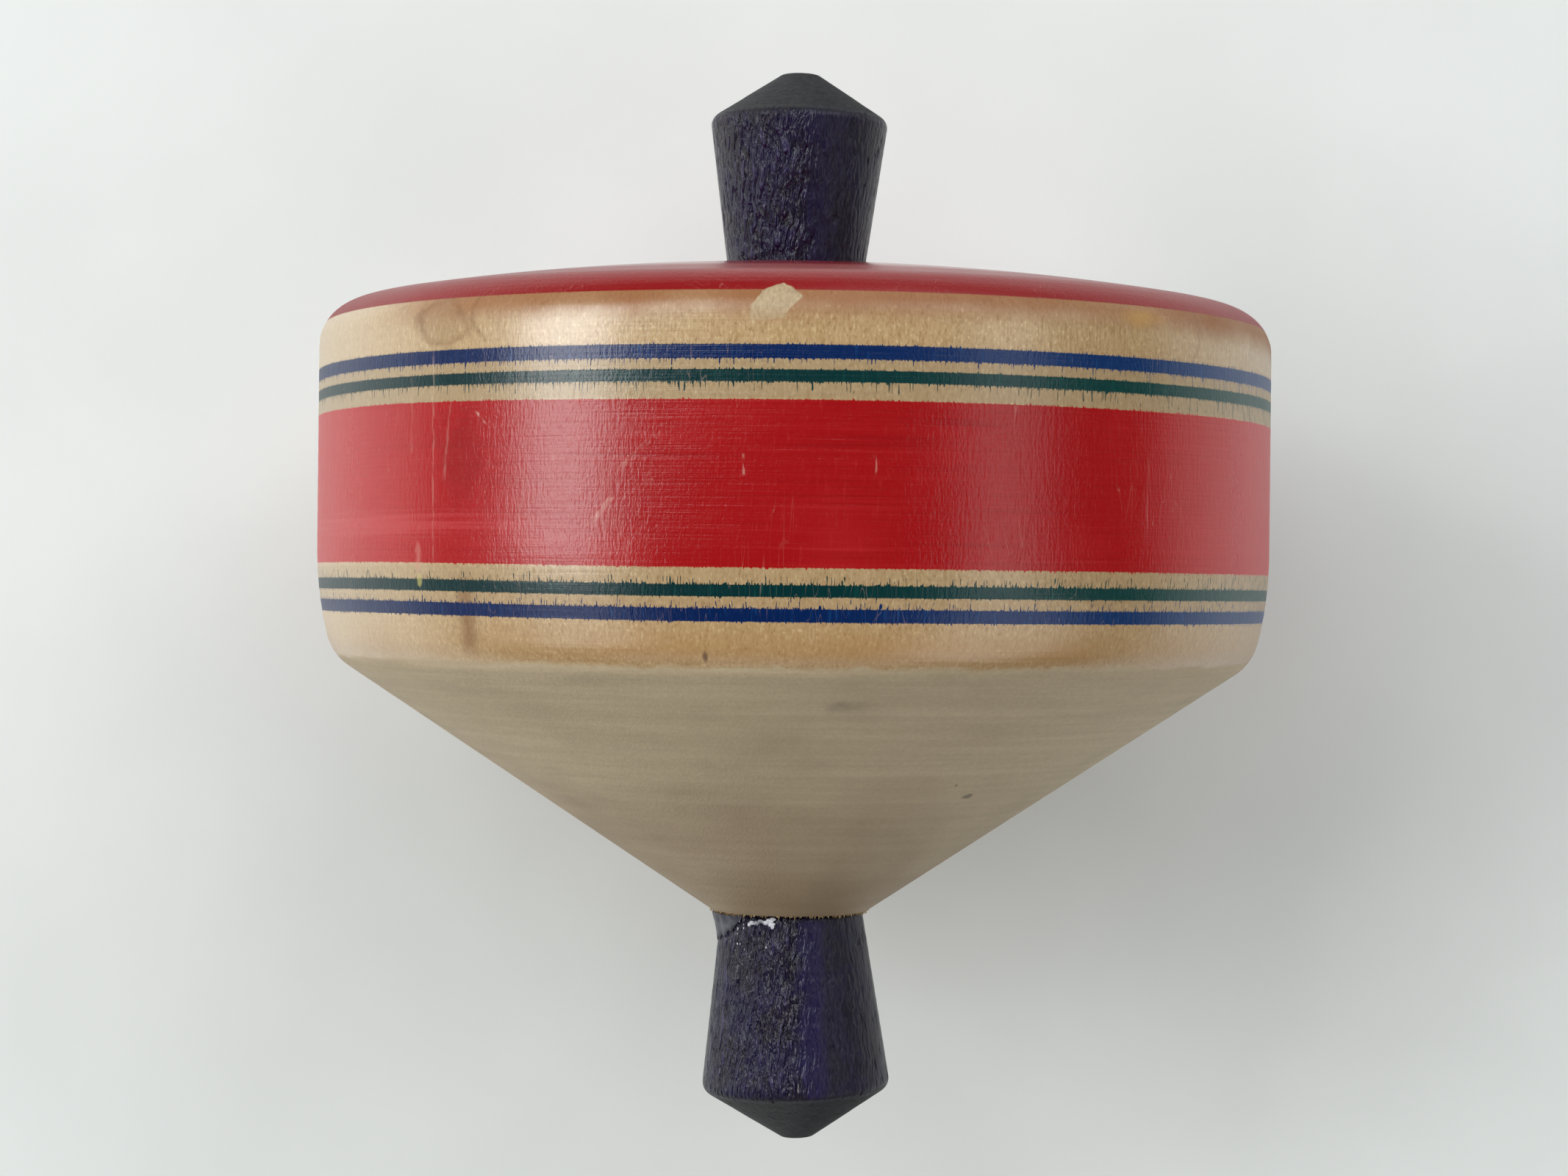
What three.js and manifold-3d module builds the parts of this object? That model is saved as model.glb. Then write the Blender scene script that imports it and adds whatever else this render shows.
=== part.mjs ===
// A turned wooden spinning top, lying on its side as it does at rest: a domed drum with a cone below it,
// a handle glued into the dome and a foot glued into the end of the cone.
// Millimetres, +Z up. The body's axis runs along Y, with the handle towards +Y and the foot towards -Y.
// The origin is on the table, under the middle of the top's length.

import * as THREE from 'three';
import { mergeVertices } from 'three/addons/utils/BufferGeometryUtils.js';
import Module from 'manifold-3d';

const wasm = await Module();
wasm.setup();

// ---- Driving dimensions. Heights run along the axis from the tip of the foot.

const overallLength = 102.4;

const drumRadius = 45.5;
const drumLowHeight = 56.5; // the straight side ends here, and the side starts to draw in
const sideArcRadius = 36;
const sideArcTurn = 13.4; // degrees that the side turns inwards before the lower shoulder
const lowerShoulderRadius = 5;
const coneSlope = 33.65; // degrees from a plane across the axis
const coneEndRadius = 7.6;
const upperShoulderRadius = 4.2;
const domeRadius = 232.8;
const domeTopHeight = 83.2;
const handleSeatRadius = 7.2; // the small flat on top of the dome that the handle stands on

const tenonRadius = 5;
const tenonLength = 26;
const tenonChamfer = 0.8;
const glueGap = 0.3; // round each tenon
const seatGap = 0.35; // under each shoulder
const boreEndGap = 0.8; // beyond the end of each tenon

const handle = {
  neckRadius: 6.65,
  cornerRadius: 8.58, // where the flank and the end cone would meet if the edge between them were sharp
  cornerHeight: 14.88,
  shoulderRadius: 1.1,
  endSlope: 33.3,
  tipRadius: 1.8,
  tipEdgeRadius: 0.55,
  lean: 0.7, // degrees towards +X
  offset: 0,
};

const foot = {
  neckRadius: 6.9,
  cornerRadius: 9.1,
  cornerHeight: 17.09,
  shoulderRadius: 1.2,
  endSlope: 32.7,
  tipRadius: 1.5,
  tipEdgeRadius: 0.55,
  lean: 2.05,
  offset: 0.2, // its bore is this far off the body's axis, towards +X
};

const bodySegments = 64;
const spindleSegments = 32;
const outlineTolerance = 0.03; // how far a chord of an outline's arc may lie inside it

// The drum lies on one flat of its many-sided outline, so the axis is this high above the table.
const axisHeight = drumRadius * Math.cos(Math.PI / bodySegments);
const middleHeight = overallLength / 2;

const finishes = {
  paintedWood: { color: 0xb4967a, roughness: 0.45, metalness: 0 },
  stainedWood: { color: 0x2f2838, roughness: 0.5, metalness: 0 },
};

// ---- Outline helpers. An outline is a list of points: x is the radius, y is the height along the axis.

const radians = THREE.MathUtils.degToRad;
const degrees = THREE.MathUtils.radToDeg;

// An arc about (x, y), with its angles in degrees from the outward direction towards the handle.
function arc(x, y, radius, from, to) {
  const chordTurn = degrees(2 * Math.acos(1 - outlineTolerance / radius));
  const steps = Math.ceil(Math.abs(to - from) / chordTurn);
  return Array.from({ length: steps + 1 }, (_, i) => {
    const angle = radians(from + ((to - from) * i) / steps);
    return new THREE.Vector2(x + radius * Math.cos(angle), y + radius * Math.sin(angle));
  });
}

// The corner between the lines before-corner and corner-after, rounded to the radius.
function roundedCorner(before, corner, after, radius) {
  const back = before.clone().sub(corner).normalize();
  const on = after.clone().sub(corner).normalize();
  const half = Math.acos(back.dot(on)) / 2;
  const centre = back.clone().add(on).setLength(radius / Math.sin(half)).add(corner);
  const start = back.multiplyScalar(radius / Math.tan(half)).add(corner).sub(centre);
  const end = on.multiplyScalar(radius / Math.tan(half)).add(corner).sub(centre);
  const from = degrees(start.angle());
  const turn = degrees(Math.atan2(start.cross(end), start.dot(end)));
  return arc(centre.x, centre.y, radius, from, from + turn);
}

// A closed body of revolution about Y. With half a step of turn, a flat of its outline faces straight down.
function turned(outline, segments) {
  return new THREE.LatheGeometry(outline, segments, Math.PI / segments);
}

// ---- The body

function bodyOutline() {
  const sideCentre = new THREE.Vector2(drumRadius - sideArcRadius, drumLowHeight);
  const sideTurn = radians(sideArcTurn);
  const toLower = sideArcRadius - lowerShoulderRadius;
  const lowerCentre = new THREE.Vector2(Math.cos(sideTurn), -Math.sin(sideTurn))
    .multiplyScalar(toLower)
    .add(sideCentre);
  const lowerShoulder = arc(lowerCentre.x, lowerCentre.y, lowerShoulderRadius, coneSlope - 90, -sideArcTurn);
  const coneTop = lowerShoulder[0];
  const coneEndHeight = coneTop.y - (coneTop.x - coneEndRadius) * Math.tan(radians(coneSlope));
  const side = arc(sideCentre.x, sideCentre.y, sideArcRadius, -sideArcTurn, 0);

  const domeCentreHeight = domeTopHeight - domeRadius;
  const upperX = drumRadius - upperShoulderRadius;
  const upperY = domeCentreHeight + Math.sqrt((domeRadius - upperShoulderRadius) ** 2 - upperX ** 2);
  const domeAngle = degrees(Math.atan2(upperY - domeCentreHeight, upperX));
  const seatAngle = degrees(Math.acos(handleSeatRadius / domeRadius));
  const upperShoulder = arc(upperX, upperY, upperShoulderRadius, 0, domeAngle);
  const dome = arc(0, domeCentreHeight, domeRadius, domeAngle, seatAngle);

  return {
    coneEndHeight,
    seatHeight: dome.at(-1).y,
    points: [
      new THREE.Vector2(0, coneEndHeight),
      new THREE.Vector2(coneEndRadius, coneEndHeight),
      ...lowerShoulder,
      ...side.slice(1),
      ...upperShoulder,
      ...dome.slice(1),
      new THREE.Vector2(0, dome.at(-1).y),
    ],
  };
}

// A bore's cutter, about Y, with the seat at height 0 and the bore going down from it.
function boreCutter() {
  const radius = tenonRadius + glueGap;
  const bottom = -(tenonLength - seatGap + boreEndGap);
  const aboveSeat = 3;
  const outline = [[0, bottom], [radius, bottom], [radius, aboveSeat], [0, aboveSeat]];
  return turned(outline.map(([x, y]) => new THREE.Vector2(x, y)), spindleSegments);
}

// ---- The spindles. The handle and the foot are one kind of piece, with its seat at height 0 and its tip up.

function spindle(shape) {
  const { neckRadius, cornerRadius, cornerHeight, shoulderRadius } = shape;
  const { endSlope, tipRadius, tipEdgeRadius } = shape;
  const neck = new THREE.Vector2(neckRadius, seatGap);
  const corner = new THREE.Vector2(cornerRadius, cornerHeight);
  const tipHeight = cornerHeight + (cornerRadius - tipRadius) * Math.tan(radians(endSlope));
  const tipEdge = new THREE.Vector2(tipRadius, tipHeight);
  const tip = new THREE.Vector2(0, tipHeight);
  const tenonEnd = seatGap - tenonLength;
  return turned(
    [
      new THREE.Vector2(0, tenonEnd),
      new THREE.Vector2(tenonRadius - tenonChamfer, tenonEnd),
      new THREE.Vector2(tenonRadius, tenonEnd + tenonChamfer),
      new THREE.Vector2(tenonRadius, seatGap),
      neck,
      ...roundedCorner(neck, corner, tipEdge, shoulderRadius),
      ...roundedCorner(corner, tipEdge, tip, tipEdgeRadius),
      tip,
    ],
    spindleSegments,
  );
}

// ---- Places

// Where a spindle stands: turned by its lean towards +X, on a seat at this height, its tip towards +Y or -Y.
function placeOnSeat(object, { lean, offset }, seatHeight, towardsHandle) {
  object.position.set(offset, seatHeight - middleHeight, axisHeight);
  object.rotation.z = towardsHandle ? -radians(lean) : Math.PI + radians(lean);
  object.updateMatrix();
  return object;
}

function named(name, geometry, finish) {
  const mesh = new THREE.Mesh(geometry, new THREE.MeshStandardMaterial(finish));
  mesh.name = name;
  return mesh;
}

// ---- Cutting the bores

function toSolid(geometry, matrix) {
  const bare = geometry.clone().applyMatrix4(matrix);
  bare.deleteAttribute('normal');
  bare.deleteAttribute('uv');
  const merged = mergeVertices(bare);
  return new wasm.Manifold(new wasm.Mesh({
    numProp: 3,
    vertProperties: new Float32Array(merged.attributes.position.array),
    triVerts: new Uint32Array(merged.index.array),
  }));
}

function toGeometry(solid) {
  const { vertProperties, triVerts } = solid.getMesh();
  const geometry = new THREE.BufferGeometry();
  geometry.setAttribute('position', new THREE.BufferAttribute(vertProperties, 3));
  geometry.setIndex(new THREE.BufferAttribute(triVerts, 1));
  geometry.computeVertexNormals();
  return geometry;
}

// ---- The whole top

const outline = bodyOutline();
const seats = [
  { name: 'upper_spindle', shape: handle, height: outline.seatHeight, towardsHandle: true },
  { name: 'lower_spindle', shape: foot, height: outline.coneEndHeight, towardsHandle: false },
];

const top = new THREE.Group();

const bodyPlace = new THREE.Matrix4().makeTranslation(0, -middleHeight, axisHeight);
let body = toSolid(turned(outline.points, bodySegments), bodyPlace);
for (const { shape, height, towardsHandle } of seats) {
  const cutter = placeOnSeat(new THREE.Object3D(), shape, height, towardsHandle);
  body = body.subtract(toSolid(boreCutter(), cutter.matrix));
}
top.add(named('body', toGeometry(body), finishes.paintedWood));

for (const { name, shape, height, towardsHandle } of seats) {
  const piece = named(name, spindle(shape), finishes.stainedWood);
  top.add(placeOnSeat(piece, shape, height, towardsHandle));
}

export default top;
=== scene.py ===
import bmesh
import bpy
import math
from functools import reduce
from mathutils import Matrix, Vector
from types import SimpleNamespace


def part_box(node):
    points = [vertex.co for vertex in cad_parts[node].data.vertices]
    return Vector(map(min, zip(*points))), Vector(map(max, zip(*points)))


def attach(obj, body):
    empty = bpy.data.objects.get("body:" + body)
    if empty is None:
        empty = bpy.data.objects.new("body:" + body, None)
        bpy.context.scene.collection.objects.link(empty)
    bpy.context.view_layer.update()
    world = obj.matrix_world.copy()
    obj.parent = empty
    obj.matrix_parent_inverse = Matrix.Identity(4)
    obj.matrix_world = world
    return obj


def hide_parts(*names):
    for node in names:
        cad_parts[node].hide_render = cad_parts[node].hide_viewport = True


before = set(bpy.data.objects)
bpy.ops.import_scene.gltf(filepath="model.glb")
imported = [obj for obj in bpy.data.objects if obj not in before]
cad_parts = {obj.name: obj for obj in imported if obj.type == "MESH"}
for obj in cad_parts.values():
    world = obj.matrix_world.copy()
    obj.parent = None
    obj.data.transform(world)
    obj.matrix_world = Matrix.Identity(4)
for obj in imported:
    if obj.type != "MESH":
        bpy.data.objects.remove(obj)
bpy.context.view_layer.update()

# ---- The body: one block of pale, close-grained hardwood, turned into a domed drum with a cone below it.
# Its bands were brushed on while it turned, and the drum and dome were varnished over them. The cone is bare.
# A blind bore in each end takes the tenon of a spindle.

mm = 0.001
body_low, body_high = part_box("body")
drum_radius = (body_high.x - body_low.x) / 2 / mm
axis = (body_low.z + body_high.z) / 2
cone_end = body_low.y
body_length = (body_high.y - body_low.y) / mm

# The body's own sizes are in millimetres: a radius, or a height above the small end of the cone.
cone_end_radius = 7.6
cone_end_edge = 0.25
cone_slope = 33.65
side_low = 34.53
side_arc = 36
side_arc_turn = 13.4
lower_shoulder = 5
upper_shoulder = 4.2
dome_arc = 232.8
dome_top = 61.23
handle_seat = 7.2
bore_depth = 26.45
foot_bore = 6.3
handle_bore = 5.7


def arc(centre, radius, start, end, step):
    """Points along an arc, with its angles in degrees from the outward direction."""
    steps = max(2, math.ceil(radius * math.radians(abs(end - start)) / step))
    angles = [math.radians(start + (end - start) * i / steps) for i in range(steps + 1)]
    return [Vector((centre[0] + radius * math.cos(a), centre[1] + radius * math.sin(a))) for a in angles]


def filled(corners, step):
    """The same outline, with points added so that none are further apart than the step."""
    points = [Vector(corners[0])]
    for corner in corners[1:]:
        start = points[-1]
        steps = max(1, math.ceil((Vector(corner) - start).length / step))
        points += [start.lerp(Vector(corner), (i + 1) / steps) for i in range(steps)]
    return points


def rounded(before, corner, after, radius, step):
    """The arc that rounds the corner of an outline."""
    back = (Vector(before) - Vector(corner)).normalized()
    on = (Vector(after) - Vector(corner)).normalized()
    half = math.acos(back.dot(on)) / 2
    centre = Vector(corner) + (back + on).normalized() * radius / math.sin(half)
    start = Vector(corner) + back * radius / math.tan(half) - centre
    end = Vector(corner) + on * radius / math.tan(half) - centre
    first = math.degrees(math.atan2(start.y, start.x))
    turn = math.degrees(math.atan2(start.x * end.y - start.y * end.x, start.dot(end)))
    return arc(centre, radius, first, first + turn, step)


def body_outline():
    lower_reach = side_arc - lower_shoulder
    side_x = drum_radius - side_arc
    lower_x = side_x + lower_reach * math.cos(math.radians(side_arc_turn))
    lower_y = side_low - lower_reach * math.sin(math.radians(side_arc_turn))
    shoulder_low = arc((lower_x, lower_y), lower_shoulder, cone_slope - 90, -side_arc_turn, 0.35)
    side = arc((side_x, side_low), side_arc, -side_arc_turn, 0, 0.7)
    dome_centre = dome_top - dome_arc
    upper_x = drum_radius - upper_shoulder
    upper_y = dome_centre + math.sqrt((dome_arc - upper_shoulder) ** 2 - upper_x ** 2)
    dome_edge = math.degrees(math.atan2(upper_y - dome_centre, upper_x))
    seat_edge = math.degrees(math.acos(handle_seat / dome_arc))
    shoulder_high = arc((upper_x, upper_y), upper_shoulder, 0, dome_edge, 0.35)
    dome = arc((0, dome_centre), dome_arc, dome_edge, seat_edge, 0.7)
    end_corner = (cone_end_radius, 0)
    end_edge = rounded((foot_bore, 0), end_corner, shoulder_low[0], cone_end_edge, 0.08)
    cone = filled([end_edge[-1], shoulder_low[0]], 0.42)
    wall = filled([side[-1], shoulder_high[0]], 0.9)
    return [
        Vector((0, bore_depth)), Vector((foot_bore, bore_depth)), Vector((foot_bore, 0)),
        *end_edge, *cone[1:-1], *shoulder_low, *side[1:], *wall[1:-1], *shoulder_high, *dome[1:],
        Vector((handle_bore, body_length)), Vector((handle_bore, body_length - bore_depth)),
        Vector((0, body_length - bore_depth)),
    ]


class Shade:
    """A socket of a node tree. Arithmetic on it adds the Math nodes that do it."""

    def __init__(self, tree, socket=None):
        self.tree = tree
        self.socket = socket

    def node(self, kind, settings, inputs, output=0):
        """Adds any node: its settings are set first, then its inputs are given values or links."""
        made = self.tree.nodes.new(kind)
        for name, value in settings.items():
            setattr(made, name, value)
        for name, value in inputs.items():
            if isinstance(value, Shade):
                self.tree.links.new(value.socket, made.inputs[name])
            else:
                made.inputs[name].default_value = value
        return Shade(self.tree, made.outputs[output])

    def math(self, operation, *others):
        return self.node("ShaderNodeMath", {"operation": operation}, dict(enumerate((self, *others))))

    def __add__(self, other):
        return self.math("ADD", other)

    __radd__ = __add__

    def __sub__(self, other):
        return self.math("SUBTRACT", other)

    def __rsub__(self, other):
        return self.node("ShaderNodeMath", {"operation": "SUBTRACT"}, {0: other, 1: self})

    def __mul__(self, other):
        return self.math("MULTIPLY", other)

    __rmul__ = __mul__

    def __truediv__(self, other):
        return self.math("DIVIDE", other)

    def larger(self, other):
        return self.math("MAXIMUM", other)

    def smaller(self, other):
        return self.math("MINIMUM", other)

    def size(self):
        """The number without its sign."""
        return self.math("ABSOLUTE")

    def rise(self, start, end):
        """0 below the start and 1 above the end, with a smooth step between them."""
        settings = {"interpolation_type": "SMOOTHSTEP"}
        return self.node("ShaderNodeMapRange", settings, {"Value": self, "From Min": start, "From Max": end})

    def part(self, name):
        """The X, Y or Z of a vector."""
        return self.node("ShaderNodeSeparateXYZ", {}, {0: self}, name)

    def vector(self, x, y, z):
        """The vector of three numbers."""
        return self.node("ShaderNodeCombineXYZ", {}, {0: x, 1: y, 2: z})

    def stretched(self, across, along, shift=0):
        """A vector scaled for a grain that runs along Y."""
        place = (shift, shift * 1.7, shift * 0.6)
        scale = (across, along, across)
        return self.node("ShaderNodeMapping", {}, {"Vector": self, "Location": place, "Scale": scale})

    def noise(self, scale=1, detail=2, roughness=0.5):
        settings = {"Vector": self, "Scale": scale, "Detail": detail, "Roughness": roughness}
        return self.node("ShaderNodeTexNoise", {}, settings, "Fac")

    def mix(self, first, second):
        """Two colours, mixed by this socket."""
        return self.node("ShaderNodeMix", {"data_type": "RGBA"}, {0: self, 6: first, 7: second}, 2)


def turned_wood_tree():
    """Spins an outline about Y into one closed skin, with a little wood grain and tool marks cut in it."""
    tree = bpy.data.node_groups.new("turned_wood", "GeometryNodeTree")
    wanted = [
        ("Outline", "Geometry"), ("Segments", "Int"), ("Seat", "Vector"), ("Turn", "Float"),
        ("Towards", "Float"), ("Shoulder gap", "Float"), ("Solid radius", "Float"),
        ("Fibre size", "Vector"), ("Fibre depth", "Float"), ("Tear depth", "Float"),
        ("Ridge pitch", "Float"), ("Ridge depth", "Float"), ("Seed", "Float"), ("Wood", "Material"),
    ]
    for name, kind in wanted:
        tree.interface.new_socket(name, in_out="INPUT", socket_type="NodeSocket" + kind)
    tree.interface.new_socket("Skin", in_out="OUTPUT", socket_type="NodeSocketGeometry")
    start = tree.nodes.new("NodeGroupInput")
    given = {name: Shade(tree, start.outputs[name]) for name, kind in wanted}
    field = Shade(tree)

    points = field.node("GeometryNodeAttributeDomainSize", {}, {0: given["Outline"]}, "Point Count")
    grid = field.node("GeometryNodeMeshGrid", {}, {
        "Size X": 1.0, "Size Y": 1.0, "Vertices X": given["Segments"] + 1, "Vertices Y": points})
    place = field.node("GeometryNodeInputPosition", {}, {})
    row = ((place.part("Y") + 0.5) * (points - 1)).math("ROUND")
    outline_type = {"data_type": "FLOAT_VECTOR", "domain": "POINT"}
    edge = field.node("GeometryNodeSampleIndex", outline_type, {
        "Geometry": given["Outline"], "Value": place, "Index": row})
    angle = place.part("X") * math.tau
    radius = edge.part("X")
    height = edge.part("Y")
    sine = angle.math("SINE")
    cosine = angle.math("COSINE")

    # The surface is only cut into, so that the piece keeps its size.
    skin = field.vector(sine * radius, height + given["Seed"], cosine * radius)
    fibres = skin.node("ShaderNodeVectorMath", {"operation": "DIVIDE"}, {0: skin, 1: given["Fibre size"]})
    fine = fibres.noise(1, 3, 0.6)
    tears = fibres.noise(0.55, 2).rise(0.56, 0.75) * fine.rise(0.35, 0.6)
    wander = field.vector(0, height / given["Ridge pitch"] / 3, sine * 0.4).noise(1, 1) * 9
    ridge = (height / given["Ridge pitch"] * math.tau + wander).math("SINE") * 0.5 + 0.5
    solid = radius.rise(given["Solid radius"], given["Solid radius"] + 0.4 * mm)
    cut = (fine * given["Fibre depth"] + tears * given["Tear depth"] + ridge * given["Ridge depth"]) * solid
    inner = radius - cut
    turned = field.node("ShaderNodeVectorRotate", {"rotation_type": "Z_AXIS"}, {
        "Vector": field.vector(sine * inner, height, cosine * inner), "Angle": given["Turn"]})
    placed = field.node("ShaderNodeVectorMath", {"operation": "ADD"}, {0: turned, 1: given["Seat"]})

    # The shoulder round the tenon lies flat on its seat, whatever the lean.
    reach = placed.part("Y") * given["Towards"]
    seat = given["Seat"].part("Y") * given["Towards"] + given["Shoulder gap"]
    held = reach.larger(seat - (1 - solid) * 1000) * given["Towards"]
    spun = field.node("GeometryNodeSetPosition", {}, {
        "Geometry": grid, "Position": field.vector(placed.part("X"), held, placed.part("Z"))})
    closed = field.node("GeometryNodeMergeByDistance", {}, {"Geometry": spun, "Distance": 0.001 * mm})
    smooth = field.node("GeometryNodeSetShadeSmooth", {}, {"Geometry": closed})
    real = field.node("GeometryNodeRealizeInstances", {}, {"Geometry": smooth})
    skinned = field.node("GeometryNodeSetMaterial", {}, {"Geometry": real, "Material": given["Wood"]})
    end = tree.nodes.new("NodeGroupOutput")
    tree.links.new(skinned.socket, end.inputs["Skin"])
    return tree


def grown(name, source, tree, values):
    """What a tree makes of a mesh with these inputs, as a plain mesh object."""
    seedling = bpy.data.objects.new(name + "_source", source)
    bpy.context.scene.collection.objects.link(seedling)
    modifier = seedling.modifiers.new(tree.name, "NODES")
    modifier.node_group = tree
    sockets = {s.name: s.identifier for s in tree.interface.items_tree if s.in_out == "INPUT"}
    for key, value in values.items():
        modifier[sockets[key]] = value
    evaluated = seedling.evaluated_get(bpy.context.evaluated_depsgraph_get())
    mesh = bpy.data.meshes.new_from_object(evaluated)
    mesh.name = name
    bpy.data.objects.remove(seedling)
    piece = bpy.data.objects.new(name, mesh)
    bpy.context.scene.collection.objects.link(piece)
    return piece


def outline_mesh(name, outline):
    """An outline in millimetres as a chain of edges: x is the radius, y is the height."""
    mesh = bpy.data.meshes.new(name)
    corners = [(p.x * mm, p.y * mm, 0) for p in outline]
    mesh.from_pydata(corners, [(i, i + 1) for i in range(len(corners) - 1)], [])
    return mesh


def colour(red, green, blue):
    """A colour as it looks on a screen, as Blender's own linear colour."""
    levels = [c / 255 for c in (red, green, blue)]
    return (*[c / 12.92 if c <= 0.04045 else ((c + 0.055) / 1.055) ** 2.4 for c in levels], 1)


def new_material(name):
    material = bpy.data.materials.new(name)
    material.use_nodes = True
    material.node_tree.nodes.clear()
    return material, Shade(material.node_tree)


def finish_material(field, sockets):
    """Ends a material in one Principled BSDF with these sockets."""
    surface = field.node("ShaderNodeBsdfPrincipled", {}, sockets)
    out = field.tree.nodes.new("ShaderNodeOutputMaterial")
    field.tree.links.new(surface.socket, out.inputs["Surface"])


# The bands of paint, by height: the low edge and the high edge of each.
red_cap_edge = 55.33
upper_blue = (49.68, 50.83)
upper_green = (47.78, 48.78)
red_band = (32.58, 46.33)
lower_green = (30.18, 31.18)
lower_blue = (28.13, 29.23)
varnish_edge = 24.4

wood_pale = colour(194, 163, 120)
wood_dark = colour(172, 138, 94)
bare_pale = colour(207, 188, 155)
bare_dark = colour(188, 168, 136)
amber = colour(174, 132, 82)
glaze_brown = colour(144, 86, 42)
stain_brown = colour(124, 82, 40)
red_paint = colour(159, 13, 17)
red_worn = colour(184, 44, 46)
red_deep = colour(136, 10, 14)
# A brighter red that stands for light on the drum's sides: painted light.
red_painted_light = colour(196, 22, 26)
blue_paint = colour(0, 30, 80)
blue_worn = colour(20, 72, 128)
green_paint = colour(0, 44, 46)
green_worn = colour(16, 82, 74)
scratch_pale = colour(228, 190, 172)


def places_on_body(field):
    """Where a point is on the body, in millimetres, and the grain and unevenness that its finishes share."""
    place = field.node("ShaderNodeTexCoord", {}, {}, "Object")
    centre = (0, -cone_end / mm, -axis / mm)
    wood = field.node("ShaderNodeMapping", {}, {"Vector": place, "Location": centre, "Scale": (1 / mm,) * 3})
    return SimpleNamespace(
        wood=wood,
        height=wood.part("Y"),
        around=wood.part("X").math("ARCTAN2", wood.part("Z")) * drum_radius,
        fibres=wood.stretched(3.6, 0.55).noise(1, 3, 0.6),
        grain=wood.stretched(4.6, 2.1, 3).noise(1, 2, 0.55),
        pores=wood.stretched(2.4, 2.4, 5).noise(1, 3, 0.65),
        turning=wood.stretched(0.035, 1.5, 11).noise(1, 3, 0.6),
        brush=wood.stretched(0.05, 3.2, 2).noise(1, 3, 0.6),
        clouds=wood.noise(0.09, 2) - 0.5,
        mottle=wood.noise(0.55, 3) - 0.5,
    )


def blotch(on, where, wide, tall, wander):
    """How far a point is from the middle of a blotch, as a share of its half width and half height."""
    across = (on.around - where[0]) / wide
    along = (on.height - where[1]) / tall
    return (across * across + along * along).math("SQRT") + wander


def rim(shape, sharpness):
    """A soft line round the edge of a blotch."""
    return (1 - ((shape - 1) * sharpness).size()).larger(0)


def scratch(on, first, last, wide):
    """A thin line from one place to another."""
    lean = (last[0] - first[0]) / (last[1] - first[1])
    offset = (on.around - first[0] - (on.height - first[1]) * lean + on.mottle * 0.25).size()
    low, high = sorted((first[1], last[1]))
    length = on.height.rise(low, low + 0.3) * (1 - on.height.rise(high - 0.3, high))
    return (1 - offset.rise(wide * 0.4, wide)) * length


def grimy_strips(on):
    """The strips of wood between the lines, where dirt has stayed in the grain."""
    upper = on.height.rise(46, 46.6) * (1 - on.height.rise(50.5, 51.2))
    lower = on.height.rise(29, 29.4) * (1 - on.height.rise(32.4, 32.8))
    return upper.larger(lower * 0.6)


def pooled_glaze(on):
    """The brown varnish that pooled below the red cap, with an uneven lower edge."""
    depth = 1.9 + on.clouds * 3
    edge = on.height + on.mottle * 0.8 + on.fibres * 0.3
    glaze = edge.rise(red_cap_edge - depth - 0.9, red_cap_edge - 0.3)
    return glaze * on.around.rise(-47, -28) * (0.8 + on.clouds)


def varnished_wood(on, strips, glaze):
    """Varnished wood with its pools and stains, with painted light on the left and painted shade at the
    right.
    """
    tone = (on.grain * 0.5 + on.fibres * 0.5).rise(0.32, 0.66).mix(wood_dark, wood_pale)
    clear = 1 - on.around.rise(15, 45) * 0.6
    tone = (on.grain.rise(0.6, 0.7) * 0.4 * clear).mix(tone, colour(232, 206, 158))
    tone = ((1 - on.grain).rise(0.6, 0.7) * 0.35 * clear).mix(tone, colour(132, 94, 58))
    # Paler towards the left: painted light from the left window.
    tone = (on.around.rise(-60, -16) * -0.45 + 0.45).mix(tone, colour(232, 208, 170))
    tone = (strips * 0.5).mix(tone, colour(150, 132, 104))
    # Browner at the right edge: painted shade.
    tone = (on.around.rise(44, 66) * 0.4).mix(tone, colour(170, 130, 72))

    # Amber varnish pooled at the lower shoulder, and brown below the cap.
    low = on.height.rise(varnish_edge - 0.4, varnish_edge + 0.9) * (1 - on.height.rise(25.6, 28.6))
    pooled = on.around.rise(-40, 0) * 0.35 + 0.3 - on.around.rise(10, 45) * 0.3 + on.clouds
    tone = (low * pooled).mix(tone, amber)
    tone = glaze.mix(tone, glaze_brown)
    tone = (glaze * on.fibres.rise(0.55, 0.7) * 0.4).mix(tone, colour(112, 62, 34))

    # Water stains and a brown drip on the left, a faint stain and an amber blotch on the right.
    first = blotch(on, (-33.2, 53.3), 3.1, 1.8, on.mottle * 0.9)
    second = blotch(on, (-26.6, 53.9), 3, 2.3, on.mottle * 0.4)
    third = blotch(on, (36.6, 53.4), 3.6, 3.4, on.mottle * 0.4)
    drip = 1 - blotch(on, (-30.2, 28.4), 1.7, 4.6, on.mottle * 0.9).rise(0.1, 1.1)
    stains = rim(first, 3.4) * (on.clouds * 2 + 0.95) * 0.5 + (1 - first.rise(0.6, 1)) * 0.22
    stains = stains + rim(second, 7) * (1 - on.around.rise(-29, -27)) * 0.45
    stains = stains + rim(third, 9) * on.around.rise(37.5, 39) * 0.3 + drip * 0.7
    tone = stains.smaller(0.9).mix(tone, stain_brown)
    amber_spot = 1 - blotch(on, (32.4, 54.3), 3.2, 1.2, on.mottle).rise(0.1, 1.1)
    return (amber_spot * 0.5).mix(tone, colour(196, 146, 62))


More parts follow.
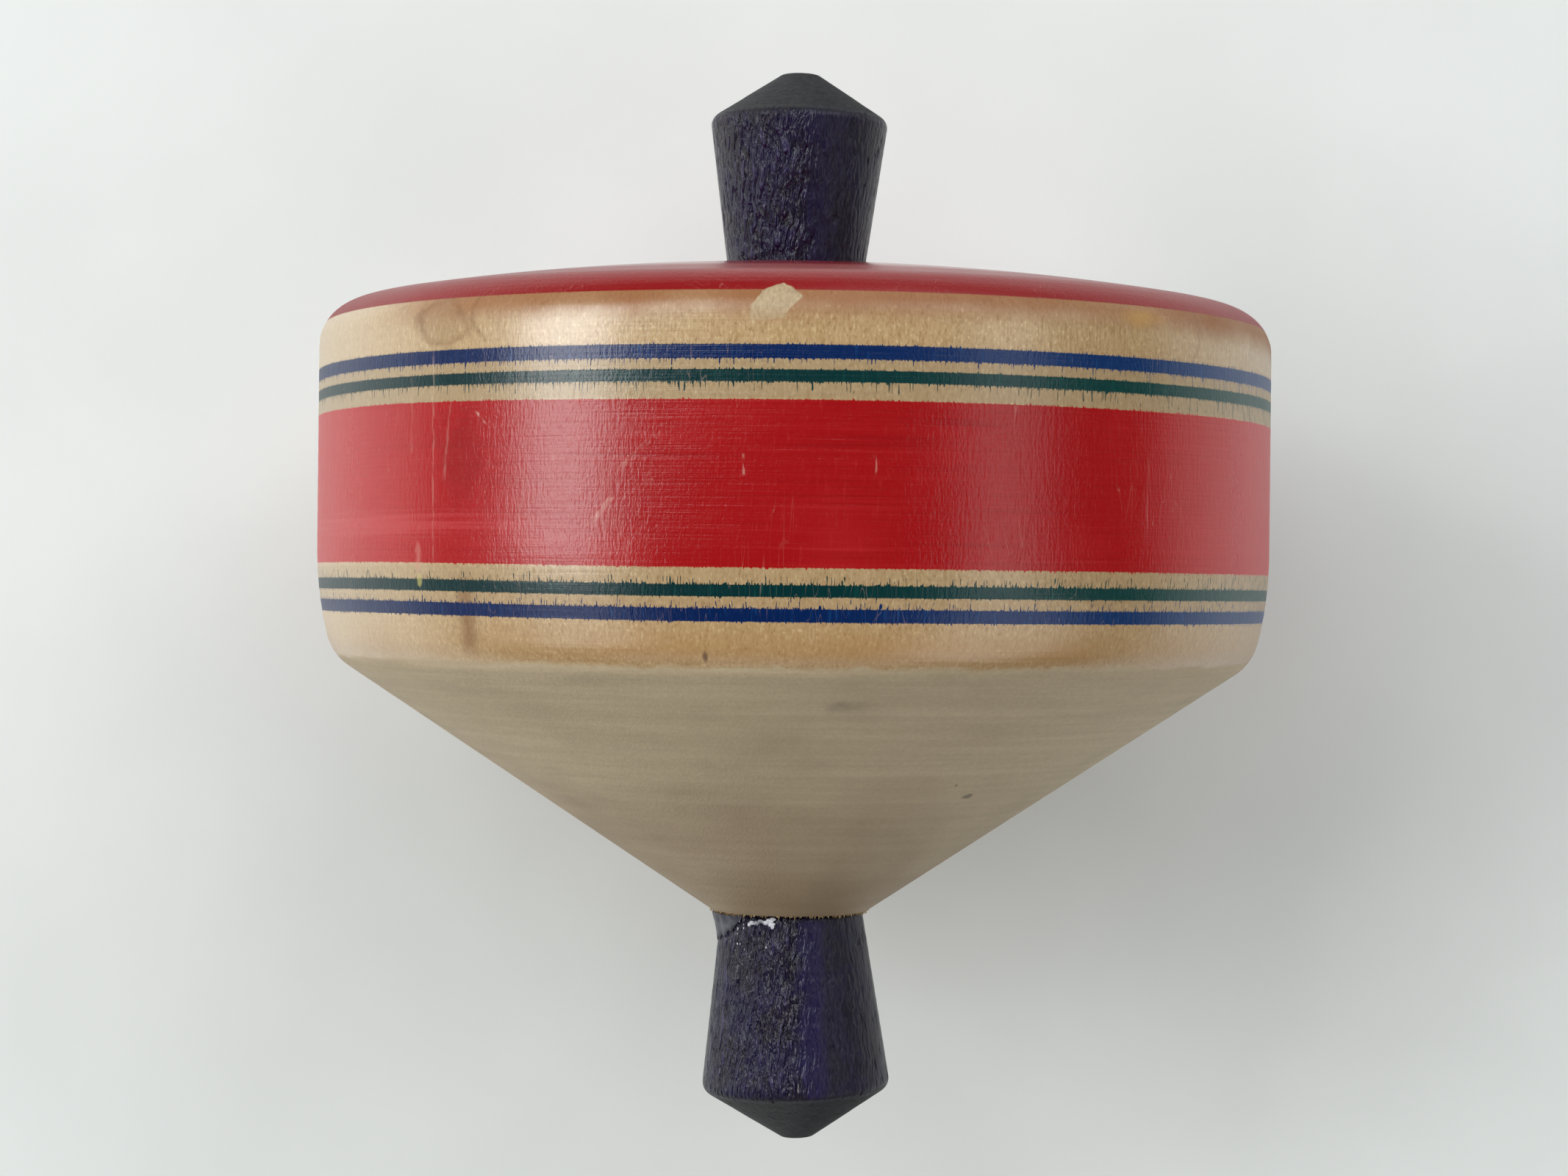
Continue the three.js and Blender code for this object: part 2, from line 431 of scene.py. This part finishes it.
def bare_wood(on):
    """The cone: pale grey, with the faint rings of turning, painted shade towards its small end, and the
    smudges and small dents of handling.
    """
    tone = (on.pores.rise(0.35, 0.7) * 0.45 + on.turning.rise(0.35, 0.7) * 0.55).mix(bare_dark, bare_pale)
    # Darker and browner towards the small end, in patches: painted shade.
    shaded_small_end = 1 - on.height.rise(0.5, 20)
    tone = (shaded_small_end * 0.75 + on.clouds).larger(0).mix(tone, colour(152, 128, 100))
    smudges = on.wood.stretched(0.11, 0.4, 23).noise(1, 3).rise(0.5, 0.75)
    tone = (smudges * (1 - on.around.rise(-20, 20) * 0.6) * 0.3).mix(tone, colour(150, 134, 108))
    dent = 1 - blotch(on, (29.5, 12.4), 1.2, 0.3, on.mottle * 2).rise(0.3, 1)
    small_dent = 1 - blotch(on, (25, 13.6), 0.7, 0.25, on.mottle * 2).rise(0.3, 1)
    smudge = 1 - blotch(on, (5.7, 21), 3.4, 0.7, on.mottle * 1.5).rise(0.1, 1.1)
    return (dent.larger(small_dent) * 0.7 + smudge * 0.35).mix(tone, colour(96, 82, 66))


def red_coat(on):
    """Red paint, streaked round the drum by the brush and thin where the wood's ridges stand proud."""
    thin = (on.brush.rise(0.5, 0.75) * 0.3 + on.fibres.rise(0.55, 0.8) * 0.45 + on.clouds * 1.2).larger(0)
    tone = thin.mix(red_paint, red_worn)
    thick = (1 - on.brush).rise(0.55, 0.72) * 0.5 + on.grain.rise(0.62, 0.75) * 0.3
    tone = thick.mix(tone, red_deep)
    # The red cap and the dome are darker: painted shade.
    tone = (on.height.rise(red_cap_edge - 1, red_cap_edge) * 0.9).mix(tone, red_deep)
    # Brighter red towards both sides of the red band: painted light.
    tone = (on.around.size().rise(14, 62) * (1 - on.height.rise(50, 52)) * 0.9).mix(tone, red_painted_light)
    dull = 1 - blotch(on, (-30.5, 41.8), 3.6, 4.6, on.mottle * 1.6).rise(0.2, 1.2)
    tone = (dull * 0.45).mix(tone, red_deep)
    pale_streak = 1 - blotch(on, (-42, 36.1), 19, 1.3, (on.brush - 0.5) * 2.4).rise(0.2, 1.1)
    return (pale_streak * 0.4).mix(tone, colour(206, 74, 76))


def bands_of_paint(on):
    """Where the red, green and blue bands and the red cap lie."""
    # The open ends of the fibres carry the paint a little past its edges, here and there further.
    creep = on.wood.stretched(9, 1.4, 7).noise(1, 1).rise(0.46, 0.74)
    far_creep = on.wood.stretched(8, 0.5, 19).noise(1, 0).rise(0.62, 0.76)
    far_creep = far_creep * (on.around.rise(15, 60) * 0.8 + 1)

    # The brush climbed a little on the left.
    climb = (1 - on.around.rise(-46, -8)) * (0.26 - on.height.rise(46.5, 49) * 0.15)
    ragged = on.height - climb + (on.fibres - 0.5) * 0.12

    def band(edges, down, up):
        """One band, and how far its paint creeps below it and above it: commonly, and here and there."""
        lower = (ragged + creep * down[0] + far_creep * down[1]).rise(edges[0] - 0.04, edges[0] + 0.06)
        upper = (ragged - creep * up[0] - far_creep * up[1]).rise(edges[1] - 0.06, edges[1] + 0.04)
        return lower * (1 - upper)

    reds = band(red_band, (0.08, 0.12), (0.06, 0.1))
    greens = band(upper_green, (0.2, 0.8), (0.06, 0.15)).larger(band(lower_green, (0.06, 0.15), (0.22, 0.7)))
    blues = band(upper_blue, (0.16, 0.45), (0.06, 0.15)).larger(band(lower_blue, (0.06, 0.15), (0.22, 0.6)))
    cap = (ragged * 0.5 + on.height * 0.5).rise(red_cap_edge - 0.06, red_cap_edge + 0.06)
    return reds, greens, blues, cap


def flake_off(on, chip):
    """A flake of varnish and paint that has come off at the cap's edge, inside six straight, broken edges."""
    def beyond(around, height, bearing):
        face = math.radians(bearing)
        return (on.around - around) * math.cos(face) + (on.height - height) * math.sin(face)

    # Each edge: a place on it, and the bearing of its outward side.
    edges = (
        (-1.2, 56, 115), (-1.2, 56, 52), (0.5, 54.9, 318),
        (-3.5, 54.2, 148), (-3.7, 53, 178), (-3, 52.8, 277),
    )
    outside = reduce(Shade.larger, [beyond(*edge) for edge in edges])
    return 1 - (outside + chip * 0.9).rise(-0.05, 0.12)


def scratches(on):
    """Six scratches on the side that shows, broken by the grain, and hairlines all round."""
    # Each scratch: its two ends, its width and its depth.
    marks = (
        ((-37.2, 51.7), (-37, 42.1), 0.2, 0.22),
        ((-34.2, 53.3), (-34, 31.2), 0.2, 0.36),
        ((-31.8, 47.5), (-32.7, 39.7), 0.24, 0.32),
        ((-29, 45.7), (-27.8, 44.4), 0.24, 1),
        ((-4.3, 42), (-4.2, 40), 0.16, 0.6),
        ((6.5, 42), (6.7, 39.6), 0.16, 0.5),
    )
    lines = reduce(Shade.larger, [scratch(on, start, end, wide) * depth for start, end, wide, depth in marks])
    hair = on.wood.stretched(1.7, 0.12, 41).noise(1, 0)
    hairlines = (1 - ((hair - 0.5) * 90).size()).larger(0) * on.wood.noise(0.12, 1).rise(0.5, 0.66)
    return (lines * on.fibres.rise(0.4, 0.6)).larger(hairlines * 0.35)


def scuffs(on):
    """Two wider scuffs on the red band."""
    faint = scratch(on, (-11.5, 43.6), (-15, 40.4), 0.5) * 0.45
    return scratch(on, (-15.3, 38.4), (-17.5, 35.8), 0.4).larger(faint) * on.fibres.rise(0.35, 0.65)


def painted_wood():
    material, field = new_material("painted_wood")
    on = places_on_body(field)
    strips = grimy_strips(on)
    glaze = pooled_glaze(on)
    chip = on.mottle * 0.7 + (on.fibres - 0.5) * 0.3
    flake = flake_off(on, chip)
    reds, greens, blues, whole_cap = bands_of_paint(on)
    cap = whole_cap * (1 - flake)

    # The wood, varnished down to the lower shoulder, with one dark speck at the varnish's edge.
    varnish = (on.height + on.mottle * 0.9 + on.fibres * 0.2).rise(varnish_edge - 0.25, varnish_edge + 0.35)
    base = varnish.mix(bare_wood(on), varnished_wood(on, strips, glaze))
    speck = 1 - blotch(on, (-7.5, 25.2), 0.3, 0.6, on.mottle).rise(0.3, 1.1)
    base = (speck * 0.8).mix(base, colour(88, 58, 34))

    # The paint, worn along the lines, and the wood that the flake has bared.
    base = reds.larger(cap).mix(base, red_coat(on))
    worn = on.wood.stretched(3.6, 0.3, 31).noise(1, 2).rise(0.55, 0.8) * 0.5 + on.around.rise(-10, 55) * 0.5
    base = greens.mix(base, worn.mix(green_paint, green_worn))
    base = blues.mix(base, worn.mix(blue_paint, blue_worn))
    bared = (on.grain * 0.5 + on.wood.noise(1.3, 3) * 0.5).rise(0.3, 0.75)
    bared = bared.mix(colour(166, 146, 114), colour(202, 180, 144))
    base = (flake * (on.height.rise(52.8, 54.2) * 0.4 + 0.5)).mix(base, bared)

    # A splash and a drop of something dried on, then the scratches and scuffs.
    splash = 1 - blotch(on, (-36, 33.2), 0.6, 1.5, chip * 3).rise(0.4, 1)
    base = (splash * 0.3).mix(base, colour(222, 150, 138))
    drop = 1 - blotch(on, (-36, 31.3), 0.45, 0.7, chip * 2.4).rise(0.6, 1)
    base = (drop * 0.6).mix(base, colour(186, 176, 104))
    lines = scratches(on)
    base = (lines.larger(scuffs(on) * 0.7) * 0.45).mix(base, scratch_pale)

    # The varnish shines least at the drum's sides and where it pooled, and most on the dome.
    sheen = varnish * (1 - flake * 0.7)
    sides = on.around.size().rise(36, 64)
    dome = cap * on.height.rise(58, 59)
    matt = sides * 0.2 + cap * 0.1 + glaze * (1 - cap) * 0.5 - dome * 0.2 - reds * 0.03
    rough = 0.6 - sheen * (0.37 - matt) + (on.fibres - 0.5) * 0.08 + lines * 0.15 + on.mottle * 0.05
    unpainted = 1 - reds.larger(cap).larger(greens).larger(blues) * 0.85
    coat = sheen * unpainted * (1 - strips * 0.6) * (1 - glaze * 0.85) * (1 - sides * 0.5)

    drum = on.height.rise(varnish_edge - 0.25, varnish_edge + 0.35)
    relief = on.fibres * 0.6 + on.grain * 0.5 + on.brush * 0.65 * drum
    relief = relief + (on.turning + on.pores) * 0.5 * (1 - drum)
    bump = field.node("ShaderNodeBump", {}, {"Strength": 0.6, "Distance": 0.08 * mm, "Height": relief})
    finish_material(field, {
        "Base Color": base, "Roughness": rough, "Normal": bump, "IOR": 1.47,
        "Coat Weight": coat, "Coat Roughness": 0.22})
    return material


turned_wood = turned_wood_tree()
body = grown("turned_body", outline_mesh("body_outline", body_outline()), turned_wood, {
    "Segments": 432, "Seat": (0, cone_end, axis), "Turn": 0.0, "Solid radius": 7 * mm,
    "Fibre size": (0.9 * mm, 5 * mm, 0.9 * mm), "Fibre depth": 0.012 * mm, "Tear depth": 0.02 * mm,
    "Ridge pitch": 1.7 * mm, "Ridge depth": 0.015 * mm, "Seed": 0.0,
    "Shoulder gap": -1000.0, "Towards": 1.0, "Wood": painted_wood(),
})
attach(body, "root")
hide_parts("body")

# ---- The spindles: two turned sticks of hardwood, stained dark purple, each with a charcoal end. The upper
# one is the handle, and the lower one is the foot it spins on. Each leans a little in its bore.

# Radii, heights above the seat and offsets are in millimetres, slopes and leans in degrees. The seat is a
# place in the frame, towards is the way along Y that the tip points, and violet is how violet one streak is.
spindles = [
    {
        "name": "handle_spindle", "node": "upper_spindle", "neck": 6.65, "corner": 8.58,
        "corner_height": 14.88, "shoulder": 1.1, "end_slope": 33.3, "tip": 1.8, "lean": 0.7, "offset": 0,
        "seat": body_high.y, "towards": 1, "violet": 0.1,
    },
    {
        "name": "foot_spindle", "node": "lower_spindle", "neck": 6.9, "corner": 9.1,
        "corner_height": 17.09, "shoulder": 1.2, "end_slope": 32.7, "tip": 1.5, "lean": 2.05, "offset": 0.2,
        "seat": cone_end, "towards": -1, "violet": 0.3,
    },
]
tenon_radius = 5
tenon_length = 25.65
tenon_chamfer = 0.8
tip_edge = 0.55
# The flat round the tenon is drawn this far below its seat, and the tree lifts it onto the seat.
root_depth = 0.35
collar_height = 0.75


def spindle_outline(shape):
    neck = (shape["neck"], -root_depth)
    corner = (shape["corner"], shape["corner_height"])
    tip_height = corner[1] + (corner[0] - shape["tip"]) * math.tan(math.radians(shape["end_slope"]))
    tip = (shape["tip"], tip_height)
    shoulder = rounded(neck, corner, tip, shape["shoulder"], 0.1)
    edge = rounded(corner, tip, (0, tip_height), tip_edge, 0.08)
    stem = filled([(shape["neck"], collar_height), shoulder[0]], 0.11)
    cone = filled([shoulder[-1], edge[0]], 0.2)
    return [
        Vector((0, -tenon_length)), Vector((tenon_radius - tenon_chamfer, -tenon_length)),
        Vector((tenon_radius, tenon_chamfer - tenon_length)), Vector((tenon_radius, -root_depth)),
        Vector(neck), *stem[:-1], *shoulder, *cone[1:-1], *edge,
        Vector((0.6, tip_height)), Vector((0, tip_height)),
    ]


def stained_wood(shape, seat, turn, seed):
    material, field = new_material("stained_wood_" + shape["name"])
    place = field.node("ShaderNodeTexCoord", {}, {}, "Object")
    wood = field.node("ShaderNodeMapping", {"vector_type": "TEXTURE"}, {
        "Vector": place, "Location": seat, "Rotation": (0, 0, turn), "Scale": (mm,) * 3})
    height = wood.part("Y")
    side = wood.part("X") * shape["towards"]
    fibres = wood.stretched(3.6, 0.6, seed).noise(1, 3, 0.6)
    twist = field.node("ShaderNodeTexNoise", {}, {"Vector": wood, "Scale": 0.5, "Detail": 1.0}, "Color")
    crooked = field.node("ShaderNodeVectorMath", {"operation": "MULTIPLY_ADD"}, {
        0: twist, 1: (0.9, 0, 0.9), 2: wood})
    torn = crooked.stretched(2.7, 0.4, seed + 4).noise(1, 2, 0.5)
    clouds = wood.noise(0.32, 2)
    # The right half is smoother, and darker with painted shade.
    smooth_shaded_side = side.rise(-1.5, 3)
    corner = shape["corner_height"]
    end = (height + (fibres - 0.5) * 0.25).rise(corner - 0.1, corner + 0.45)

    stain = fibres.rise(0.3, 0.7).mix(colour(6, 3, 15), colour(27, 17, 52))
    stain = (clouds.rise(0.42, 0.62) * 0.5).mix(stain, colour(24, 16, 58))
    stain = ((1 - clouds).rise(0.52, 0.64) * 0.5).mix(stain, colour(20, 9, 28))
    # Painted shade darkens the right half.
    stain = (smooth_shaded_side * 0.5).mix(stain, colour(18, 14, 32))
    streak = (side + clouds * 2).rise(1, 2.2) * (1 - (side + clouds * 2).rise(3.4, 4.4))
    stain = (streak * shape["violet"]).mix(stain, colour(34, 19, 86))
    # Painted glints of the window's light on the torn grain, mostly on the left half.
    painted_glints = torn.rise(0.59, 0.67) * (1 - smooth_shaded_side * 0.8)
    stain = (painted_glints * 0.35).mix(stain, colour(84, 76, 120))
    ridge = (1 - ((height - corner + 0.05) / 0.22).size()).larger(0)
    stain = (ridge * 0.7).mix(stain, colour(12, 10, 16))
    collar = 1 - height.rise(collar_height - 0.3, collar_height)
    stain = (collar * 0.5).mix(stain, colour(20, 16, 24))
    charcoal = wood.noise(1.6, 3).rise(0.3, 0.7).mix(colour(24, 25, 28), colour(38, 39, 42))
    rubbed = wood.noise(2.2, 2).rise(0.64, 0.7)
    charcoal = (rubbed * 0.25).mix(charcoal, colour(84, 84, 88))
    base = end.mix(stain, charcoal)
    rough = 0.19 + end * 0.45 + smooth_shaded_side * 0.16 + ridge * 0.2 + (fibres - 0.5) * 0.15
    relief = (fibres * 0.2 + torn * 1.2 + wood.noise(3, 2) * 0.08) * (1 - end * 0.85) * (1 - smooth_shaded_side * 0.75)
    bump = field.node("ShaderNodeBump", {}, {"Strength": 1.0, "Distance": 0.6 * mm, "Height": relief})
    finish_material(field, {"Base Color": base, "Roughness": rough, "Normal": bump, "IOR": 1.41})
    return material


for number, shape in enumerate(spindles):
    lean = math.radians(shape["lean"])
    turn = -lean if shape["towards"] > 0 else math.pi + lean
    seat = (shape["offset"] * mm, shape["seat"], axis)
    outline = outline_mesh(shape["name"] + "_outline", spindle_outline(shape))
    spindle = grown(shape["name"], outline, turned_wood, {
        "Segments": 400, "Seat": seat, "Turn": turn, "Solid radius": (tenon_radius + 0.3) * mm,
        "Fibre size": (0.34 * mm, 2.2 * mm, 0.34 * mm), "Fibre depth": 0.05 * mm, "Tear depth": 0.13 * mm,
        "Ridge pitch": 1.3 * mm, "Ridge depth": 0.01 * mm, "Seed": 0.05 * (number + 1),
        "Shoulder gap": 0.02 * mm, "Towards": float(shape["towards"]),
        "Wood": stained_wood(shape, seat, turn, 5 * number),
    })
    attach(spindle, "root")
    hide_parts(shape["node"])

# ---- The glue at the foot's joint: a smear of dried glue that fills the corner on one side, and crumbs of it on
# the stain beside it, grey glue with painted white highlights. All round the joint, the cut end of the cone
# is ragged with pale fibres.

foot = spindles[1]
foot_turn = math.pi + math.radians(foot["lean"])
foot_seat = (foot["offset"] * mm, foot["seat"], axis)
foot_flare = (foot["corner"] - foot["neck"]) / foot["corner_height"]


def scattered_tree():
    """Scatters copies of a small mesh over a stretch of a round stick, standing outwards on its surface."""
    tree = bpy.data.node_groups.new("scattered_bits", "GeometryNodeTree")
    wanted = [
        ("Bit", "Geometry"), ("Count", "Int"), ("Seed", "Int"), ("Seat", "Vector"), ("Turn", "Float"),
        ("From angle", "Float"), ("To angle", "Float"), ("From height", "Float"), ("To height", "Float"),
        ("Radius", "Float"), ("Flare", "Float"), ("Least", "Vector"), ("Most", "Vector"),
        ("Tilt", "Float"), ("Finish", "Material"),
    ]
    for name, kind in wanted:
        tree.interface.new_socket(name, in_out="INPUT", socket_type="NodeSocket" + kind)
    tree.interface.new_socket("Bits", in_out="OUTPUT", socket_type="NodeSocketGeometry")
    start = tree.nodes.new("NodeGroupInput")
    given = {name: Shade(tree, start.outputs[name]) for name, kind in wanted}
    field = Shade(tree)

    def chance(kind, least, most, offset):
        """A random number or vector for each copy. The node has the vector's sockets before the number's."""
        low_socket, high_socket, output = (2, 3, 1) if kind == "FLOAT" else (0, 1, 0)
        return field.node("FunctionNodeRandomValue", {"data_type": kind}, {
            low_socket: least, high_socket: most, "Seed": given["Seed"] + offset}, output)

    angle = chance("FLOAT", given["From angle"], given["To angle"], 0)
    height = chance("FLOAT", given["From height"], given["To height"], 1)
    radius = given["Radius"] + height * given["Flare"]
    spot = field.vector(angle.math("SINE") * radius, height, angle.math("COSINE") * radius)
    turned = field.node("ShaderNodeVectorRotate", {"rotation_type": "Z_AXIS"}, {
        "Vector": spot, "Angle": given["Turn"]})
    placed = field.node("ShaderNodeVectorMath", {"operation": "ADD"}, {0: turned, 1: given["Seat"]})
    points = field.node("GeometryNodePoints", {}, {"Count": given["Count"], "Position": placed})
    tilt = chance("FLOAT", given["Tilt"] * -1, given["Tilt"], 2)
    copies = field.node("GeometryNodeInstanceOnPoints", {}, {
        "Points": points, "Instance": given["Bit"], "Rotation": field.vector(tilt, angle, given["Turn"]),
        "Scale": chance("FLOAT_VECTOR", given["Least"], given["Most"], 3)})
    real = field.node("GeometryNodeRealizeInstances", {}, {"Geometry": copies})
    smooth = field.node("GeometryNodeSetShadeSmooth", {}, {"Geometry": real})
    finished = field.node("GeometryNodeSetMaterial", {}, {"Geometry": smooth, "Material": given["Finish"]})
    end = tree.nodes.new("NodeGroupOutput")
    tree.links.new(finished.socket, end.inputs["Bits"])
    return tree


def crumb():
    """A rounded crumb, one millimetre across."""
    mesh = bpy.data.meshes.new("crumb")
    form = bmesh.new()
    bmesh.ops.create_icosphere(form, subdivisions=2, radius=0.5 * mm)
    for corner in form.verts:
        corner.co *= 1 + 0.14 * math.sin(corner.co.x * 9000 + 2 * corner.co.z * 7000)
    form.to_mesh(mesh)
    form.free()
    return mesh


def sliver():
    """A splinter of wood, one millimetre long, pointing away from the handle."""
    mesh = bpy.data.meshes.new("sliver")
    form = bmesh.new()
    place = Matrix.Translation((0, -0.35 * mm, 0)) @ Matrix.Rotation(math.pi / 2, 4, "X")
    bmesh.ops.create_cone(form, cap_ends=True, segments=5, radius1=0.12 * mm, radius2=0.02 * mm,
                          depth=1 * mm, matrix=place)
    form.to_mesh(mesh)
    form.free()
    return mesh


def glue_material():
    material, field = new_material("dried_glue")
    place = field.node("ShaderNodeTexCoord", {}, {}, "Object")
    cloud = place.noise(900, 3)
    # Grey glue, lighter to white in patches: the white is painted highlight.
    tone = cloud.rise(0.35, 0.65).mix(colour(132, 132, 142), colour(214, 214, 222))
    rough = cloud * 0.3 + 0.1
    grit = place.noise(2500, 2)
    bump = field.node("ShaderNodeBump", {}, {"Strength": 0.4, "Distance": 0.05 * mm, "Height": grit})
    finish_material(field, {"Base Color": tone, "Roughness": rough, "Normal": bump, "IOR": 1.47})
    return material


def smear_material():
    material, field = new_material("glue_smear")
    place = field.node("ShaderNodeTexCoord", {}, {}, "Object")
    cloud = place.noise(700, 3)
    tone = cloud.rise(0.35, 0.65).mix(colour(58, 58, 68), colour(94, 94, 102))
    finish_material(field, {"Base Color": tone, "Roughness": cloud * 0.3 + 0.25, "IOR": 1.47})
    return material


def fibre_material():
    material, field = new_material("torn_fibres")
    place = field.node("ShaderNodeTexCoord", {}, {}, "Object")
    tone = place.noise(1400, 2).rise(0.35, 0.65).mix(colour(150, 118, 74), colour(206, 182, 132))
    finish_material(field, {"Base Color": tone, "Roughness": 0.75})
    return material


def glue_smear():
    """The fillet of glue between the end of the cone and the foot: a wedge that thins out at both ends."""
    first = math.radians(-135)
    last = math.radians(-42)
    steps = 40
    # Its section: how far out from the foot's surface, and how far along the foot, in millimetres.
    section = [(-0.2, 0.02), (0.75, 0.02), (0.7, 0.3), (0.42, 1), (0.14, 2), (-0.06, 2.9), (-0.2, 2.7)]
    turn = Matrix.Rotation(foot_turn, 4, "Z")
    corners = []
    for i in range(steps + 1):
        angle = -(first + (last - first) * i / steps)
        # Its size here, as a share of the full section, a little uneven.
        share = math.sin(math.pi * i / steps) ** 0.6 * (1 + 0.12 * math.sin(i * 1.3)) / 1.12
        for out, along in section:
            height = along * share
            radius = foot["neck"] + foot_flare * height + out * share
            local = Vector((radius * math.sin(angle), height, radius * math.cos(angle))) * mm
            spot = turn @ local + Vector(foot_seat)
            spot.y = min(spot.y, foot_seat[1] - 0.02 * mm)
            corners.append(spot)
    count = len(section)
    faces = []
    for i in range(steps):
        for k in range(count):
            a = i * count + k
            b = i * count + (k + 1) % count
            faces.append((a, b, b + count, a + count))
    faces.append(tuple(range(count)))
    faces.append(tuple(steps * count + k for k in reversed(range(count))))
    mesh = bpy.data.meshes.new("glue_smear")
    mesh.from_pydata(corners, [], faces)
    form = bmesh.new()
    form.from_mesh(mesh)
    bmesh.ops.recalc_face_normals(form, faces=form.faces)
    form.to_mesh(mesh)
    form.free()
    mesh.polygons.foreach_set("use_smooth", [True] * len(mesh.polygons))
    mesh.materials.append(smear_material())
    piece = bpy.data.objects.new("glue_smear", mesh)
    bpy.context.scene.collection.objects.link(piece)
    return piece


scattered_bits = scattered_tree()
foot_place = {"Seat": foot_seat, "Turn": foot_turn, "Radius": foot["neck"] * mm, "Flare": foot_flare}
glue = glue_material()
patch = grown("glue_patch", crumb(), scattered_bits, {
    **foot_place, "Count": 20, "Seed": 4, "From angle": math.radians(12), "To angle": math.radians(36),
    "From height": 0.25 * mm, "To height": 1 * mm, "Least": (0.16, 0.24, 0.08), "Most": (0.7, 0.5, 0.2),
    "Tilt": 0.2, "Finish": glue,
})
crumbs = grown("glue_crumbs", crumb(), scattered_bits, {
    **foot_place, "Count": 18, "Seed": 11, "From angle": math.radians(10), "To angle": math.radians(56),
    "From height": 0.5 * mm, "To height": 4 * mm, "Least": (0.06, 0.08, 0.04), "Most": (0.2, 0.26, 0.08),
    "Tilt": 0.3, "Finish": glue,
})
fibres = grown("cone_edge_fibres", sliver(), scattered_bits, {
    "Seat": (0, cone_end, axis), "Turn": 0.0, "Radius": 7.42 * mm, "Flare": 0.0,
    "Count": 640, "Seed": 7, "From angle": -math.pi, "To angle": math.pi,
    "From height": 0.08 * mm, "To height": 0.22 * mm, "Least": (0.5, 0.2, 0.5), "Most": (1.1, 0.55, 1.1),
    "Tilt": 1.1, "Finish": fibre_material(),
})
for piece in (patch, crumbs, fibres, glue_smear()):
    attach(piece, "root")

# ---- The table, the light and the camera: a plain pale sheet in a dim room, soft windows on all sides, the
# brightest of them on the left, and a camera that looks straight down.

sheet_size = 8
sheet_mesh = bpy.data.meshes.new("sheet")
corners = [(x * sheet_size / 2, y * sheet_size / 2, 0) for x, y in ((-1, -1), (1, -1), (1, 1), (-1, 1))]
sheet_mesh.from_pydata(corners, [], [(0, 1, 2, 3)])
sheet = bpy.data.objects.new("sheet", sheet_mesh)
bpy.context.scene.collection.objects.link(sheet)
sheet_material, sheet_field = new_material("sheet")
spot = sheet_field.node("ShaderNodeTexCoord", {}, {}, "Object")
paper = spot.noise(28, 3).rise(0.3, 0.7).mix(colour(229, 231, 229), colour(234, 236, 234))
finish_material(sheet_field, {"Base Color": paper, "Roughness": 0.6})
sheet_mesh.materials.append(sheet_material)

# Each light: its direction as a compass angle from +X and a height angle, its width and height as angles seen
# from the object, its brightness, and how much of its red is left.
lights = {
    "left_window": (166, 36.5, 39, 21, 6.9, 1),
    "low_left_glow": (178, 14, 60, 18, 0.35, 1),
    "near_left_window": (203, 36, 30, 22, 1.5, 1),
    "right_window": (0, 42.5, 24, 17, 1.5, 1),
    "near_right_window": (325, 35, 46, 30, 1.2, 1),
    "side_window": (50, 30, 70, 34, 1.3, 1),
    "high_window": (96, 59, 120, 26, 2.1, 0.94),
    "far_window": (132, 56, 50, 20, 2.3, 0.94),
    "near_glow": (270, 30, 80, 20, 0.55, 1),
}
light_distance = 1.1


def window(name, compass, climb, wide, tall, brightness, redness):
    data = bpy.data.lights.new(name, "AREA")
    data.color = (redness, 1, 1)
    data.shape = "RECTANGLE"
    data.size = 2 * light_distance * math.tan(math.radians(wide) / 2) * math.cos(math.radians(climb))
    data.size_y = 2 * light_distance * math.tan(math.radians(tall) / 2)
    data.energy = brightness * math.pi * data.size * data.size_y
    light = bpy.data.objects.new(name, data)
    bpy.context.scene.collection.objects.link(light)
    flat = math.cos(math.radians(climb))
    direction = Vector((
        flat * math.cos(math.radians(compass)), flat * math.sin(math.radians(compass)),
        math.sin(math.radians(climb))))
    light.location = direction * light_distance + Vector((0, 0, axis))
    light.rotation_euler = direction.to_track_quat("Z", "Y").to_euler()


for name, values in lights.items():
    window(name, *values)

# The room is dim, but the camera sees it pale past the end of the sheet.
horizon_tone = (0.05, 0.05, 0.05, 1)
ceiling_tone = (0.04, 0.04, 0.04, 1)
backdrop = (0.8, 0.8, 0.79, 1)
world = bpy.data.worlds.new("room")
world.use_nodes = True
bpy.context.scene.world = world
world.node_tree.nodes.clear()
room = Shade(world.node_tree)
seen = room.node("ShaderNodeLightPath", {}, {}, "Is Camera Ray")
upwards = room.node("ShaderNodeTexCoord", {}, {}, "Generated").part("Z")
tone = upwards.rise(0.1, 0.75).mix(horizon_tone, ceiling_tone)
tone = seen.mix(tone, backdrop)
glow = room.node("ShaderNodeBackground", {}, {"Color": tone, "Strength": 1.0})
world_out = world.node_tree.nodes.new("ShaderNodeOutputWorld")
world.node_tree.links.new(glow.socket, world_out.inputs["Surface"])

bpy.context.scene.view_settings.view_transform = "Standard"

# The camera is 0.29 m above the axis and turned by a little over half a degree.
camera_data = bpy.data.cameras.new("camera")
camera_data.lens = 68.99
camera_data.clip_start = 0.01
camera_data.clip_end = 50
camera = bpy.data.objects.new("camera", camera_data)
bpy.context.scene.collection.objects.link(camera)
camera.location = (-0.83 * mm, 1.71 * mm, axis + 290.36 * mm)
camera.rotation_euler = (0, 0, math.radians(0.62))
bpy.context.scene.camera = camera
